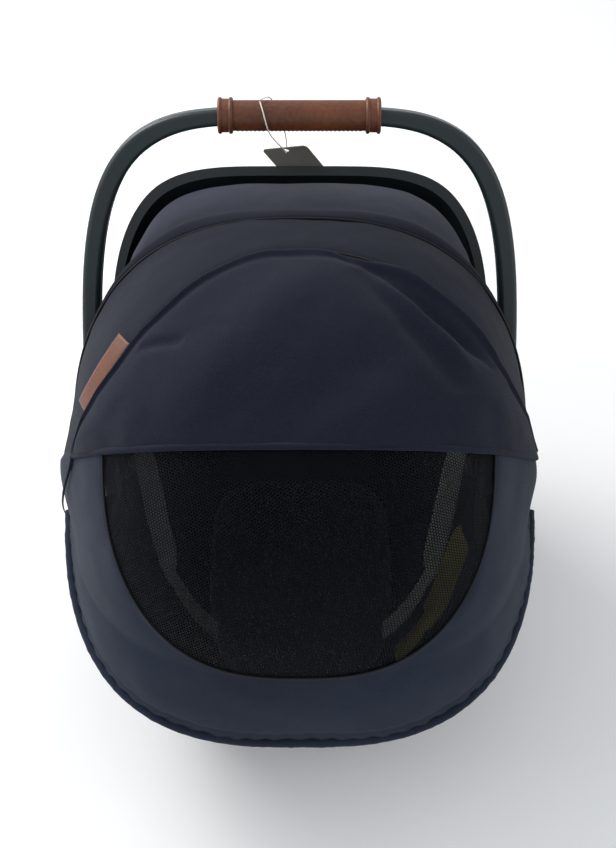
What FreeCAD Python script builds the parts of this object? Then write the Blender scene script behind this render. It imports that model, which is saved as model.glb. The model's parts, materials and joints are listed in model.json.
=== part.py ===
"""Pet carrier pod of a pet stroller: moulded shell, folding hood, swing handle.

Millimetres. +Z up, -Y is the front, +X is the right side seen from the front.
The origin lies on the flat underside, straight below the axis of the two hubs.
"""
import FreeCAD
import Part
import math
import os

V = FreeCAD.Vector
X_AXIS = V(1, 0, 0)

# --- driving dimensions -------------------------------------------------------
HUB_HEIGHT = 225.0            # hub axis above the underside

# carry handle
HANDLE_TILT = -30.0           # degrees forward of upright (negative is back)
HANDLE_OUTER = (210.0, 353.5, 4.3)   # half width, height above hub, squareness
HANDLE_INNER = (193.0, 338.5, 4.3)
HANDLE_DEPTH = 24.0
HANDLE_EDGE = 4.5
HUB_DISC_RADIUS = 32.0
HUB_DISC_PROUD = 0.4
GRIP_REACH = 346.0            # hub axis to grip axis
GRIP_RADIUS = 14.0
GRIP_LENGTH = 122.0
COLLAR_LENGTH = 14.0
COLLAR_RADIUS = 15.4

# hub stack, measured outwards along X
HOUSING = (181.0, 192.0, 34.0)       # inner face, outer face, radius
AXLE = (169.0, 206.0, 5.0)
AXLE_HEAD = 3.0
AXLE_HEAD_RADIUS = 9.0
RUNNING_GAP = 0.09
CAP = (210.0, 222.0, 30.0)
BUTTON = (215.0, 225.0, 13.0)
BUTTON_FLANGE = (215.0, 217.6, 16.0)
SPRING_WIRE = 0.8
SPRING_RADIUS = 8.0
SPRING_COILS = 4

# hood, as arches about the hub axis: half width, reach, squareness
HOOD = (222.0, 262.0, 2.5)
FABRIC = 2.0
LEG_START = 42.0              # reach at which an arch's fabric begins
REAR_EDGE = (180.0, 281.0, 4.0)
REAR_START = (190.0, 262.0, 3.2)
HEM = (229.0, 283.0, 2.8)
HEM_THICKNESS = 8.0
BOW_THICKNESS = 3.5
BOW_WIDTH = 12.0
BOW_EYE_RADIUS = 12.0
BOW_REAR_LEG = (176.0, 179.5)
BOW_FRONT_LEG = (171.0, 174.5)
# degrees forward of upright
REAR_EDGE_ANGLE = -49.0
CHANNEL_ANGLE = -25.5
BOW_REAR_ANGLE = -21.0
BOW_FRONT_ANGLE = -8.7
FLAP_EDGE_ANGLE = 34.0
MESH_END_ANGLE = 84.0
MAIN_PANEL_END = 60.0
WINDOW_START = -20.0
HEM_ANGLE = 104.0
JOIN_GAP = 0.12               # degrees left open between parts that move apart
MESH_HALF_WIDTH = 170.0
# the flap's arc seam as (y, height above the hubs), from behind its top down to the hubs
FLAP_SEAM = [(60.0, 300.0), (40.0, 270.0), (35.0, 260.0), (20.0, 255.0), (-5.0, 239.0),
             (-24.0, 218.0), (-43.0, 170.0), (-50.0, 120.0), (-48.0, 60.0), (-40.0, 20.0)]
SEAM_GAP = 0.6
FLAP_LEG_START = 60.0
FLAP_LIFT = 4.0               # flap's outer face above the hood's outer face
FLAP_FABRIC = 2.5
FLAP_STAY_HALF_WIDTH = 160.0
FLAP_STAY_ANGLE = 2.4
FLAP_STAY_THICKNESS = 3.2
TAB_X = (146.0, 202.0)          # leather tab's span beside the centre line
TAB_WIDTH = 17.0
TAB_LIFT = 2.0                  # tab's outer face above the hood's outer face
TAB_THICKNESS = 1.9

# shell
WALL = 4.0
LINER_GAP = 0.5
LINER = 2.5
SHELL_FRONT_FLARE = 24.0
SHELL_FRONT_SQUARENESS = 2.6
SHELL_BACK_SQUARENESS = 4.6
SHELL_LEVELS = [              # height, half width at hubs, front reach, back reach
    (6.0, 118.0, 165.0, 150.0),
    (60.0, 150.0, 208.0, 190.0),
    (130.0, 172.0, 240.0, 215.0),
    (200.0, 186.0, 256.0, 232.0),
    (260.0, 188.0, 262.0, 237.0),
    (320.0, 187.5, 264.0, 238.0),
    (375.0, 187.5, 266.0, 238.5),
    (430.0, 187.5, 267.0, 239.0),
]
RIM_LINE = [(-300.0, 160.0), (-262.0, 168.0), (-130.0, 192.0), (-20.0, 228.0),
            (60.0, 279.0), (150.0, 342.0), (245.0, 409.0), (300.0, 447.0)]
TRIM_HEIGHT = 14.0
TRIM_PROUD = 3.0
TRIM_INSIDE = 1.0
LINER_DROP = 53.0

# base
PLATE = (112.0, 158.0, 143.0, 6.0)   # half width, front reach, back reach, thickness
PAD_RADIUS = 14.0
PAD_DEPTH = 3.0
PAD_PLACES = [(-70.0, -110.0), (70.0, -110.0), (-70.0, 100.0), (70.0, 100.0)]
SCREW_RADIUS = 2.4
SCREW_PLACES = [(-85.0, 0.0), (85.0, 0.0), (0.0, -125.0), (0.0, 115.0)]
SCREW_TOP = 9.0
CUSHION = (104.0, 146.0, 130.0)
CUSHION_BOTTOM = 13.2
CUSHION_TOP = 42.0

# adapter sockets
SOCKET_X = (160.0, 208.0)
SOCKET_Y = 26.0
SOCKET_Z = (108.0, 182.0)
SLOT_X = (190.0, 202.0)
SLOT_Y = 17.0
SLOT_TOP = 166.0

# webbing
WEB_WIDTH = 22.0
WEB_THICKNESS = 1.8
SIDE_STRAP = [(172.0, 66.0, 196.0), (158.0, 35.0, 190.0), (128.0, -72.0, 126.0), (84.0, -84.0, 44.5)]
TETHER = [(166.0, -34.0, 160.0), (156.0, -62.0, 150.0), (140.0, -92.0, 118.0), (98.0, -112.0, 44.5)]

# swing tag
TAG_SIZE = (50.0, 0.8, 84.0)
TAG_HOLE_AT = V(-14.0, 246.7, 422.6)
TAG_ACROSS = V(0.894, -0.288, 0.343)
TAG_DOWN = V(0.419, 0.269, -0.868)
TAG_HOLE = 3.0
TAG_HOLE_DROP = 5.5
STRING_DIAMETER = 1.2
STRING_ROUTE = [
    (-36.0, 173.0, 540.4), (-33.5, 163.8, 538.8), (-30.5, 156.9, 528.5),
    (-28.0, 159.4, 515.7), (-25.0, 177.0, 494.5), (-19.5, 207.0, 461.5),
    (-16.2, 225.5, 441.5), (-14.8, 235.0, 431.5), (-14.2, 239.6, 425.4),
    (-14.0, 243.2, 421.4), (-13.8, 248.6, 420.7), (-13.6, 251.8, 424.6),
    (-13.6, 250.6, 431.0), (-14.2, 245.6, 441.6), (-16.0, 234.5, 463.0),
    (-20.5, 213.5, 500.0), (-24.5, 195.2, 523.5), (-27.5, 187.8, 534.4),
    (-31.0, 179.2, 540.5), (-35.0, 173.4, 542.4),
]


# --- helpers ------------------------------------------------------------------
def export(shape, name):
    """Write one node, checking that every solid in it is sound."""
    if not shape.isValid() or not shape.Solids:
        raise ValueError(name + " is not a valid solid")
    shape.exportStep("parts/" + name + ".step")
    print(name, len(shape.Solids), round(shape.Volume / 1000.0, 2), "cm3")


def turned(shape, forward):
    """Turn a shape made about the origin forward by an angle, then lift it to the hubs."""
    placed = shape.copy()
    placed.rotate(V(0, 0, 0), X_AXIS, forward)
    placed.translate(V(0, 0, HUB_HEIGHT))
    return placed


def spline(points):
    curve = Part.BSplineCurve()
    curve.interpolate([V(*p) for p in points])
    return curve.toShape()


def superellipse(across, along, squareness, angle):
    """Point of a superellipse at an angle from its first axis."""
    c, d = math.cos(angle), math.sin(angle)
    radius = (abs(c / across) ** squareness + abs(d / along) ** squareness) ** (-1.0 / squareness)
    return radius * c, radius * d


def arch_points(half_width, reach, squareness, leg, steps=20):
    """Points of a superellipse arch over the X axis, from the right leg to the left leg."""
    start = math.atan2(leg, half_width)
    points = []
    for i in range(steps + 1):
        x, z = superellipse(half_width, reach, squareness, start + (math.pi - 2.0 * start) * i / steps)
        points.append((x, 0.0, z))
    return points


def arch_wire(arch, thickness, leg=LEG_START):
    """Closed outline of an arch band, lying in the upright plane through the hub axis."""
    half_width, reach, squareness = arch
    outer = arch_points(half_width, reach, squareness, leg)
    inner = arch_points(half_width - thickness, reach - thickness, squareness, leg)
    edges = [
        spline(outer),
        Part.makeLine(V(*outer[-1]), V(*inner[-1])),
        spline(inner[::-1]),
        Part.makeLine(V(*inner[0]), V(*outer[0])),
    ]
    return Part.Wire(edges)


def arch_band(arch, thickness, start, end, leg=LEG_START):
    """Fabric swept about the hub axis between two angles."""
    face = Part.Face(arch_wire(arch, thickness, leg))
    face.rotate(V(0, 0, 0), X_AXIS, start)
    solid = face.revolve(V(0, 0, 0), X_AXIS, end - start)
    solid.translate(V(0, 0, HUB_HEIGHT))
    return solid


def arch_loft(stations, thickness, leg):
    """Fabric that changes size between angles: stations are (angle, arch)."""
    wires = [turned(arch_wire(arch, thickness, leg), angle) for angle, arch in stations]
    return Part.makeLoft(wires, True)


def rod(x_start, x_end, radius, y=0.0, z=HUB_HEIGHT):
    """Round bar along X."""
    return Part.makeCylinder(radius, x_end - x_start, V(x_start, y, z), X_AXIS)


def block(x, y, z):
    """Box between two (low, high) pairs in each direction."""
    return Part.makeBox(x[1] - x[0], y[1] - y[0], z[1] - z[0], V(x[0], y[0], z[0]))


def mirrored(shape):
    return shape.mirror(V(0, 0, 0), X_AXIS)


def shell_outline(height, half_width, front, back, flare, steps=16):
    """Closed plan outline: a rounded front and a squarer back, wider ahead of the hubs."""
    def width(y):
        ahead = min(max((-y - 30.0) / 90.0, 0.0), 1.0)
        return half_width + flare * ahead * ahead * (3.0 - 2.0 * ahead)

    def end_points(reach, squareness, direction):
        points = []
        for i in range(steps + 1):
            x, y = superellipse(half_width, reach, squareness, math.pi * i / steps)
            y = abs(y) * direction
            points.append((x * width(y) / half_width, y, height))
        return points

    ahead = end_points(front, SHELL_FRONT_SQUARENESS, -1.0)
    behind = end_points(back, SHELL_BACK_SQUARENESS, 1.0)
    return Part.Wire([spline(ahead), spline(behind[::-1])])


def tub_solid(inset, bottom):
    """Filled tub, drawn in from the shell's outer face by an inset."""
    wires = []
    for index, (height, half_width, front, back) in enumerate(SHELL_LEVELS):
        level = bottom if index == 0 else height
        scale = half_width / SHELL_LEVELS[-1][1]
        wires.append(shell_outline(level, half_width - inset, front - inset, back - inset,
                                   SHELL_FRONT_FLARE * scale))
    return Part.makeLoft(wires, True)


def above_rim(drop):
    """Everything above the rim line, lowered by a drop."""
    line = [(-320.0, y, z - drop) for y, z in RIM_LINE]
    top = 520.0
    edges = [
        spline(line),
        Part.makeLine(V(*line[-1]), V(-320.0, line[-1][1], top)),
        Part.makeLine(V(-320.0, line[-1][1], top), V(-320.0, line[0][1], top)),
        Part.makeLine(V(-320.0, line[0][1], top), V(*line[0])),
    ]
    return Part.Face(Part.Wire(edges)).extrude(V(640.0, 0, 0))


def plan_plate(half_width, front, back, bottom, top):
    wire = shell_outline(bottom, half_width, front, back, 0.0)
    return Part.Face(wire).extrude(V(0, 0, top - bottom))


def webbing(points, mirror):
    """Flat strap through points, its width along Y."""
    wires = []
    for x, y, z in points:
        corners = [V(x, y - WEB_WIDTH / 2, z), V(x, y + WEB_WIDTH / 2, z),
                   V(x + WEB_THICKNESS, y + WEB_WIDTH / 2, z + WEB_THICKNESS * 0.4),
                   V(x + WEB_THICKNESS, y - WEB_WIDTH / 2, z + WEB_THICKNESS * 0.4)]
        wires.append(Part.makePolygon(corners + corners[:1]))
    strap = Part.makeLoft(wires, True, True)
    return mirrored(strap) if mirror else strap


def cord_path(points):
    """Straight runs joined by tangent arcs, each as large as its two runs allow."""
    points = [V(*p) for p in points]
    edges = []
    radii = []
    last = points[0]
    for before, here, after in zip(points, points[1:], points[2:]):
        into = here - before
        out = after - here
        shorter = min(into.Length, out.Length)
        turn = into.getAngle(out)
        reach = 0.45 * shorter
        radii.append(round(reach / math.tan(turn / 2.0), 1))
        into.normalize()
        out.normalize()
        start = here - into * reach
        end = here + out * reach
        middle_direction = out - into
        middle_direction.normalize()
        radius = reach / math.tan(turn / 2.0)
        to_centre = radius / math.cos(turn / 2.0)
        middle = here + middle_direction * (to_centre - radius)
        edges.append(Part.LineSegment(last, start).toShape())
        edges.append(Part.Arc(start, middle, end).toShape())
        last = end
    edges.append(Part.LineSegment(last, points[-1]).toShape())
    return Part.Wire(edges), radii


# --- shell --------------------------------------------------------------------
def make_shell():
    outer = tub_solid(0.0, SHELL_LEVELS[0][0])
    inner = tub_solid(WALL, SHELL_LEVELS[0][0] + WALL)
    tub = outer.cut(inner).cut(above_rim(TRIM_HEIGHT))
    for side in (1, -1):
        hole = rod(*sorted((side * 150.0, side * 215.0)), HOUSING[2])
        tub = tub.cut(hole)
    for x, y in SCREW_PLACES:
        tub = tub.cut(Part.makeCylinder(SCREW_RADIUS + 0.1, 30.0, V(x, y, -1.0)))
    export(tub, "shell_tub")

    ring = tub_solid(-TRIM_PROUD, SHELL_LEVELS[0][0]).cut(tub_solid(WALL + TRIM_INSIDE, SHELL_LEVELS[0][0]))
    ring = ring.cut(above_rim(0.0)).common(above_rim(TRIM_HEIGHT))
    for side in (1, -1):
        ring = ring.cut(rod(*sorted((side * 150.0, side * 215.0)), HOUSING[2]))
    front_half, rear_half = sorted(ring.Solids, key=lambda solid: solid.CenterOfMass.y)
    export(front_half, "rim_trim_front")
    export(rear_half, "rim_trim_rear")

    lining = tub_solid(WALL + LINER_GAP, SHELL_LEVELS[0][0] + WALL + LINER_GAP)
    lining = lining.cut(tub_solid(WALL + LINER_GAP + LINER, SHELL_LEVELS[0][0] + WALL + LINER_GAP + LINER))
    lining = lining.cut(above_rim(LINER_DROP))
    export(lining, "liner")
    return outer


def make_base():
    half_width, front, back, thickness = PLATE
    plate = plan_plate(half_width, front, back, 0.0, thickness)
    pads = []
    for x, y in PAD_PLACES:
        pad = Part.makeCylinder(PAD_RADIUS, PAD_DEPTH, V(x, y, 0.0))
        plate = plate.cut(pad)
        pads.append(pad)
    screws = []
    for x, y in SCREW_PLACES:
        head = Part.makeCone(SCREW_RADIUS * 2.0, SCREW_RADIUS, 2.4, V(x, y, 0.6))
        stem = Part.makeCylinder(SCREW_RADIUS, SCREW_TOP - 0.6, V(x, y, 0.6))
        screw = head.fuse(stem)
        plate = plate.cut(Part.makeCylinder(SCREW_RADIUS * 2.0 + 0.1, 3.0, V(x, y, 0.0)))
        plate = plate.cut(Part.makeCylinder(SCREW_RADIUS + 0.1, thickness, V(x, y, 0.0)))
        screws.append(screw)
    export(plate, "base_plate")
    export(Part.makeCompound(pads), "foot_pads")
    export(Part.makeCompound(screws), "base_screws")

    cushion = plan_plate(*CUSHION, CUSHION_BOTTOM, CUSHION_TOP)
    rims = [e for e in cushion.Edges if abs(e.CenterOfMass.z - CUSHION_TOP) < 0.1]
    export(cushion.makeFillet(9.0, rims), "floor_cushion")


def make_hubs(tub):
    """Hub housing, axle and adapter socket on each side."""
    for name, side in (("right", 1), ("left", -1)):
        housing = rod(HOUSING[0], HOUSING[1], HOUSING[2])
        housing = housing.makeFillet(1.5, [housing.Edges[0], housing.Edges[2]])
        housing = housing.cut(rod(HOUSING[0], HOUSING[1], AXLE[2] + RUNNING_GAP))
        axle = rod(AXLE[0], AXLE[1], AXLE[2])
        axle = axle.fuse(rod(AXLE[1] - AXLE_HEAD, AXLE[1], AXLE_HEAD_RADIUS))
        axle = axle.fuse(rod(AXLE[0] - AXLE_HEAD, AXLE[0], AXLE_HEAD_RADIUS))
        socket = block(SOCKET_X, (-SOCKET_Y, SOCKET_Y), SOCKET_Z)
        uprights = [e for e in socket.Edges
                    if abs(e.CenterOfMass.z - sum(SOCKET_Z) / 2) < 0.1 and e.CenterOfMass.x > SLOT_X[1]]
        socket = socket.makeFillet(6.0, uprights)
        socket = socket.cut(block(SLOT_X, (-SLOT_Y, SLOT_Y), (SOCKET_Z[0] - 1.0, SLOT_TOP)))
        socket = socket.cut(tub)
        socket = max(socket.Solids, key=lambda s: s.BoundBox.XMax)
        for kind, shape in (("hub_housing", housing), ("pivot_axle", axle), ("adapter_socket", socket)):
            export(shape if side > 0 else mirrored(shape), kind + "_" + name)


def make_webbing():
    export(webbing(SIDE_STRAP, False), "side_strap_right")
    export(webbing(SIDE_STRAP, True), "side_strap_left")
    export(webbing(TETHER, False), "tether_strap")


# --- handle -------------------------------------------------------------------
def make_handle():
    half_width, reach, squareness = HANDLE_OUTER
    outer = arch_points(half_width, reach, squareness, 1.0, 28)
    half_width, reach, squareness = HANDLE_INNER
    inner = arch_points(half_width, reach, squareness, 1.0, 28)
    wire = Part.Wire([
        spline(outer),
        Part.makeLine(V(*outer[-1]), V(*inner[-1])),
        spline(inner[::-1]),
        Part.makeLine(V(*inner[0]), V(*outer[0])),
    ])
    wire.translate(V(0, -HANDLE_DEPTH / 2, 0))
    bar = Part.Face(wire).extrude(V(0, HANDLE_DEPTH, 0))
    long_edges = [e for e in bar.Edges if e.Length > 300.0]
    bar = bar.makeFillet(HANDLE_EDGE, long_edges)
    for side in (1, -1):
        inner_x, outer_x = HANDLE_INNER[0], HANDLE_OUTER[0]
        disc = rod(inner_x - HUB_DISC_PROUD, outer_x, HUB_DISC_RADIUS, 0.0, 0.0)
        bore = rod(inner_x - 2.0, outer_x, AXLE[2] + RUNNING_GAP, 0.0, 0.0)
        recess = rod(AXLE[1] - AXLE_HEAD - 0.4, outer_x, AXLE_HEAD_RADIUS + 1.0, 0.0, 0.0)
        if side < 0:
            disc, bore, recess = mirrored(disc), mirrored(bore), mirrored(recess)
        bar = bar.fuse(disc).cut(bore).cut(recess)
    bar = turned(bar, HANDLE_TILT)
    export(bar, "handle_bar")
    return bar


def grip_piece(start, end, radius, beaded):
    """Round sleeve about the grip axis, with a bead round each end of a collar."""
    sleeve = rod(start, end, radius, 0.0, GRIP_REACH)
    if beaded:
        for edge_x in (start + 2.0, end - 2.0):
            sleeve = sleeve.fuse(Part.makeTorus(radius - 0.6, 2.0, V(edge_x, 0, GRIP_REACH), X_AXIS))
    return sleeve


def make_grip(bar):
    """Leather-look sleeve and two end collars, clamped on the bar."""
    half = GRIP_LENGTH / 2
    pieces = [
        ("grip_sleeve", -half, half, GRIP_RADIUS, False),
        ("grip_collar_right", half, half + COLLAR_LENGTH, COLLAR_RADIUS, True),
        ("grip_collar_left", -half - COLLAR_LENGTH, -half, COLLAR_RADIUS, True),
    ]
    for name, start, end, radius, beaded in pieces:
        sleeve = turned(grip_piece(start, end, radius, beaded), HANDLE_TILT)
        export(sleeve.cut(bar), name)


def make_hub_caps():
    """Cap on each arm, with a spring-loaded release button in its middle."""
    for name, side in (("right", 1), ("left", -1)):
        cap = rod(CAP[0], CAP[1], CAP[2])
        outer_rim = [e for e in cap.Edges if abs(e.CenterOfMass.x - CAP[1]) < 0.1]
        cap = cap.makeFillet(6.0, outer_rim)
        cap = cap.cut(rod(CAP[0], CAP[1] - 4.0, BUTTON_FLANGE[2] + 0.5))
        cap = cap.cut(rod(CAP[0], CAP[1] + 1.0, BUTTON[2] + 0.3))
        button = rod(BUTTON[0], BUTTON[1], BUTTON[2])
        face = [e for e in button.Edges if abs(e.CenterOfMass.x - BUTTON[1]) < 0.1]
        button = button.makeFillet(2.0, face)
        button = button.fuse(rod(*BUTTON_FLANGE))
        coils = []
        pitch = (BUTTON_FLANGE[0] - AXLE[1] - 2 * SPRING_WIRE) / (SPRING_COILS - 1)
        for coil in range(SPRING_COILS):
            centre = V(AXLE[1] + SPRING_WIRE + coil * pitch, 0, HUB_HEIGHT)
            coils.append(Part.makeTorus(SPRING_RADIUS - SPRING_WIRE, SPRING_WIRE * 0.95, centre, X_AXIS))
        spring = Part.makeCompound(coils)
        for kind, shape in (("hub_cap", cap), ("release_button", button), ("button_spring", spring)):
            export(shape if side > 0 else mirrored(shape), kind + "_" + name)


# --- hood ---------------------------------------------------------------------
def bow(leg_x, angle):
    """Flat hoop that follows the hood inside, with straight legs down to an eye on each axle."""
    half_width, reach, squareness = HOOD
    arch = (half_width - FABRIC - 0.5, reach - FABRIC - 0.5, squareness)
    wire = arch_wire(arch, BOW_THICKNESS)
    wire.translate(V(0, -BOW_WIDTH / 2, 0))
    hoop = Part.Face(wire).extrude(V(0, BOW_WIDTH, 0))
    hoop = hoop.common(block((-leg_x[1], leg_x[1]), (-20.0, 20.0), (60.0, 300.0)))
    leg_reach = arch[1] * (1.0 - (leg_x[1] / arch[0]) ** squareness) ** (1.0 / squareness)
    for side in (1, -1):
        leg = block(leg_x, (-BOW_WIDTH / 2, BOW_WIDTH / 2), (0.0, leg_reach))
        eye = rod(leg_x[0], leg_x[1], BOW_EYE_RADIUS, 0.0, 0.0)
        bore = rod(leg_x[0] - 1.0, leg_x[1] + 1.0, AXLE[2] + RUNNING_GAP, 0.0, 0.0)
        limb = leg.fuse(eye).cut(bore)
        hoop = hoop.fuse(limb if side > 0 else mirrored(limb))
    return turned(hoop.removeSplitter(), angle)


def make_bows():
    rear_bow = bow(BOW_REAR_LEG, BOW_REAR_ANGLE)
    export(rear_bow, "hood_bow_rear")
    export(bow(BOW_FRONT_LEG, BOW_FRONT_ANGLE), "hood_bow_front")
    return rear_bow


def behind_seam(shift=0.0):
    """Everything behind the flap's arc seam, drawn across the full width."""
    line = [(-320.0, y + shift, HUB_HEIGHT + z) for y, z in FLAP_SEAM]
    first, last = V(*line[0]), V(*line[-1])
    edges = [
        spline(line),
        Part.makeLine(last, V(-320.0, 320.0, last.z)),
        Part.makeLine(V(-320.0, 320.0, last.z), V(-320.0, 320.0, first.z)),
        Part.makeLine(V(-320.0, 320.0, first.z), first),
    ]
    return Part.Face(Part.Wire(edges)).extrude(V(640.0, 0, 0))


def make_hood_fabric(rear_bow):
    squareness = HOOD[2]
    reach = HOOD[1]
    rear = arch_loft([(CHANNEL_ANGLE - JOIN_GAP, REAR_START), (REAR_EDGE_ANGLE, REAR_EDGE)], FABRIC, 110.0)
    export(rear, "hood_rear_panel")

    channel_arch = (REAR_START[0], reach + 1.5, REAR_START[2])
    channel = arch_band(channel_arch, FABRIC + 1.0, CHANNEL_ANGLE, BOW_REAR_ANGLE - JOIN_GAP, 110.0)
    export(channel.cut(rear_bow), "bow_channel")
    main_panel = arch_band(HOOD, FABRIC, BOW_REAR_ANGLE, MAIN_PANEL_END).common(behind_seam())
    export(main_panel, "hood_main_panel")

    window = arch_band(HOOD, FABRIC, WINDOW_START, MESH_END_ANGLE).cut(behind_seam(-SEAM_GAP))
    middle = block((-MESH_HALF_WIDTH, MESH_HALF_WIDTH), (-400.0, 400.0), (0.0, 600.0))
    mesh = window.common(middle)
    sides = window.cut(middle)
    lower_arch = (HEM[0] - 3.0, HEM[1] - 4.0, HEM[2])
    hem_half_angle = math.degrees(HEM_THICKNESS / 2 / HEM[1])
    lower = arch_loft([(MESH_END_ANGLE, HOOD), (94.0, (224.0, 269.0, squareness)),
                       (HEM_ANGLE - hem_half_angle - 1.0, lower_arch)], FABRIC, LEG_START)
    export(mesh, "mesh_window")

    hem = arch_wire(HEM, HEM_THICKNESS, LEG_START + 6.0)
    hem.translate(V(0, -HEM_THICKNESS / 2, 0))
    hem = Part.Face(hem).extrude(V(0, HEM_THICKNESS, 0))
    hem = hem.makeFillet(3.0, [e for e in hem.Edges if e.Length > 300.0])
    hem = turned(hem, HEM_ANGLE)
    export(hem, "hem_binding")
    export(sides.fuse(lower).removeSplitter().cut(hem), "border_panel")


def make_flap():
    """Roll-back window cover, its stiffened front edge and the leather tab on its seam."""
    half_width, reach, squareness = HOOD
    arch = (half_width + FLAP_LIFT, reach + FLAP_LIFT, squareness)
    cover = arch_band(arch, FLAP_FABRIC, WINDOW_START, FLAP_EDGE_ANGLE - JOIN_GAP, FLAP_LEG_START)
    export(cover.cut(behind_seam(-SEAM_GAP)), "window_flap")
    stay_arch = (arch[0] + 1.5, arch[1] + 1.5, squareness)
    stay = arch_band(stay_arch, FLAP_STAY_THICKNESS, FLAP_EDGE_ANGLE, FLAP_EDGE_ANGLE + FLAP_STAY_ANGLE)
    stay = stay.common(block((-FLAP_STAY_HALF_WIDTH, FLAP_STAY_HALF_WIDTH), (-400.0, 0.0), (0.0, 600.0)))
    export(stay, "flap_stay")

    tab_arch = (half_width + TAB_LIFT, reach + TAB_LIFT, squareness)
    tab = arch_band(tab_arch, TAB_THICKNESS, WINDOW_START, FLAP_EDGE_ANGLE)
    tab = tab.common(behind_seam()).cut(behind_seam(TAB_WIDTH))
    tab = tab.common(block((-TAB_X[1], -TAB_X[0]), (-400.0, 400.0), (0.0, 600.0)))
    export(tab, "leather_tab")


# --- swing tag ----------------------------------------------------------------
def make_tag():
    width, thickness, height = TAG_SIZE
    card = Part.makeBox(width, thickness, height, V(-width / 2, -thickness / 2, TAG_HOLE_DROP - height))
    card = card.makeFillet(5.0, [e for e in card.Edges if abs(e.Length - thickness) < 0.01])
    card = card.cut(Part.makeCylinder(TAG_HOLE, 4.0, V(0, -2.0, 0), V(0, 1, 0)))
    turn = FreeCAD.Rotation(TAG_ACROSS, V(0, 0, 0), TAG_DOWN * -1.0, "XZY")
    card.Placement = FreeCAD.Placement(TAG_HOLE_AT, turn)
    export(card, "swing_tag")

    path, radii = cord_path(STRING_ROUTE)
    start = path.Edges[0].valueAt(path.Edges[0].FirstParameter)
    direction = path.Edges[0].tangentAt(path.Edges[0].FirstParameter)
    ring = Part.Wire(Part.makeCircle(STRING_DIAMETER / 2, start, direction))
    string = path.makePipeShell([ring], True, False)
    ideal = math.pi * (STRING_DIAMETER / 2) ** 2 * path.Length
    print("string radii", radii)
    print("string length", round(path.Length, 1), "volume ratio", round(string.Volume / ideal, 4))
    export(string, "tag_string")


def main():
    os.makedirs("parts", exist_ok=True)
    tub = make_shell()
    make_base()
    make_hubs(tub)
    make_webbing()
    bar = make_handle()
    make_grip(bar)
    make_hub_caps()
    rear_bow = make_bows()
    make_hood_fabric(rear_bow)
    make_flap()
    make_tag()


main()
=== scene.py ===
"""Dresses the pet carrier pod: hood cloth, mesh window, flap, cords, finishes, light and camera."""
import json
import logging
import math
from dataclasses import dataclass, field
from enum import Enum
from typing import Callable, Dict, List, Optional, Sequence, Tuple

import bpy
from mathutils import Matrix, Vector, noise
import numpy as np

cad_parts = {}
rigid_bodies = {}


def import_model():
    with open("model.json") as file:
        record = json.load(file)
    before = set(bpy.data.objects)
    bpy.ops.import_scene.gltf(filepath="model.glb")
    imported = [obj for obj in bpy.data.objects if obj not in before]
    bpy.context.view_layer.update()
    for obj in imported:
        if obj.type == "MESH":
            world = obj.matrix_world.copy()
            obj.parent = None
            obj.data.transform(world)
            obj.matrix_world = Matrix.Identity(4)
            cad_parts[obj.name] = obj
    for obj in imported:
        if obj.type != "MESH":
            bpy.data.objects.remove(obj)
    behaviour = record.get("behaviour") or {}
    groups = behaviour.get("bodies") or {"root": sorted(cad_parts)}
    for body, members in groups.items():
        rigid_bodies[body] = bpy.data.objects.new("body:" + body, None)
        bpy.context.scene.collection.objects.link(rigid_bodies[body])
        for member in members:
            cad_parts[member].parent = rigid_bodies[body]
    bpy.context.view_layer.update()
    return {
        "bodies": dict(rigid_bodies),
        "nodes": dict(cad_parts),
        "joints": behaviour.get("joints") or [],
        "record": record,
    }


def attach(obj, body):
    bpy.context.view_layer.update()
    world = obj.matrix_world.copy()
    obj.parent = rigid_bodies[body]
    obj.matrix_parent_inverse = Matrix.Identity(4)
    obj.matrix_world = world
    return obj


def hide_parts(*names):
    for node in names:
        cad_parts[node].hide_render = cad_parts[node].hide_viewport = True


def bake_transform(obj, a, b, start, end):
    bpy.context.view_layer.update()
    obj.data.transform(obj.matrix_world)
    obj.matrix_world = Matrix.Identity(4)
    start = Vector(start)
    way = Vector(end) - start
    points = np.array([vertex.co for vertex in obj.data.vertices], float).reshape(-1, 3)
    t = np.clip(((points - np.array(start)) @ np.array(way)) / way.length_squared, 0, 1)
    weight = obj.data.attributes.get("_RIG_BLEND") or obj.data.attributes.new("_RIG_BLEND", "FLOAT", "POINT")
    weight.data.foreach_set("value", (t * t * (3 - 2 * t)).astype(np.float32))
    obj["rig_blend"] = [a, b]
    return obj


logging.basicConfig(level=logging.INFO, format="%(message)s")
LOG = logging.getLogger("pod")

Place = Tuple[float, float, float]
Spot = Tuple[float, float]
Grid = Callable[[float, float], Tuple[Vector, Tuple[float, float]]]


class Body(str, Enum):
    """The moving groups that pieces ride on."""

    SHELL = "shell"
    HANDLE = "handle"
    TAG = "tag"
    HOOD_REAR = "hood_rear"
    HOOD_FRONT = "hood_front"
    FLAP = "flap"
    HEM = "hood_hem"


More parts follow.
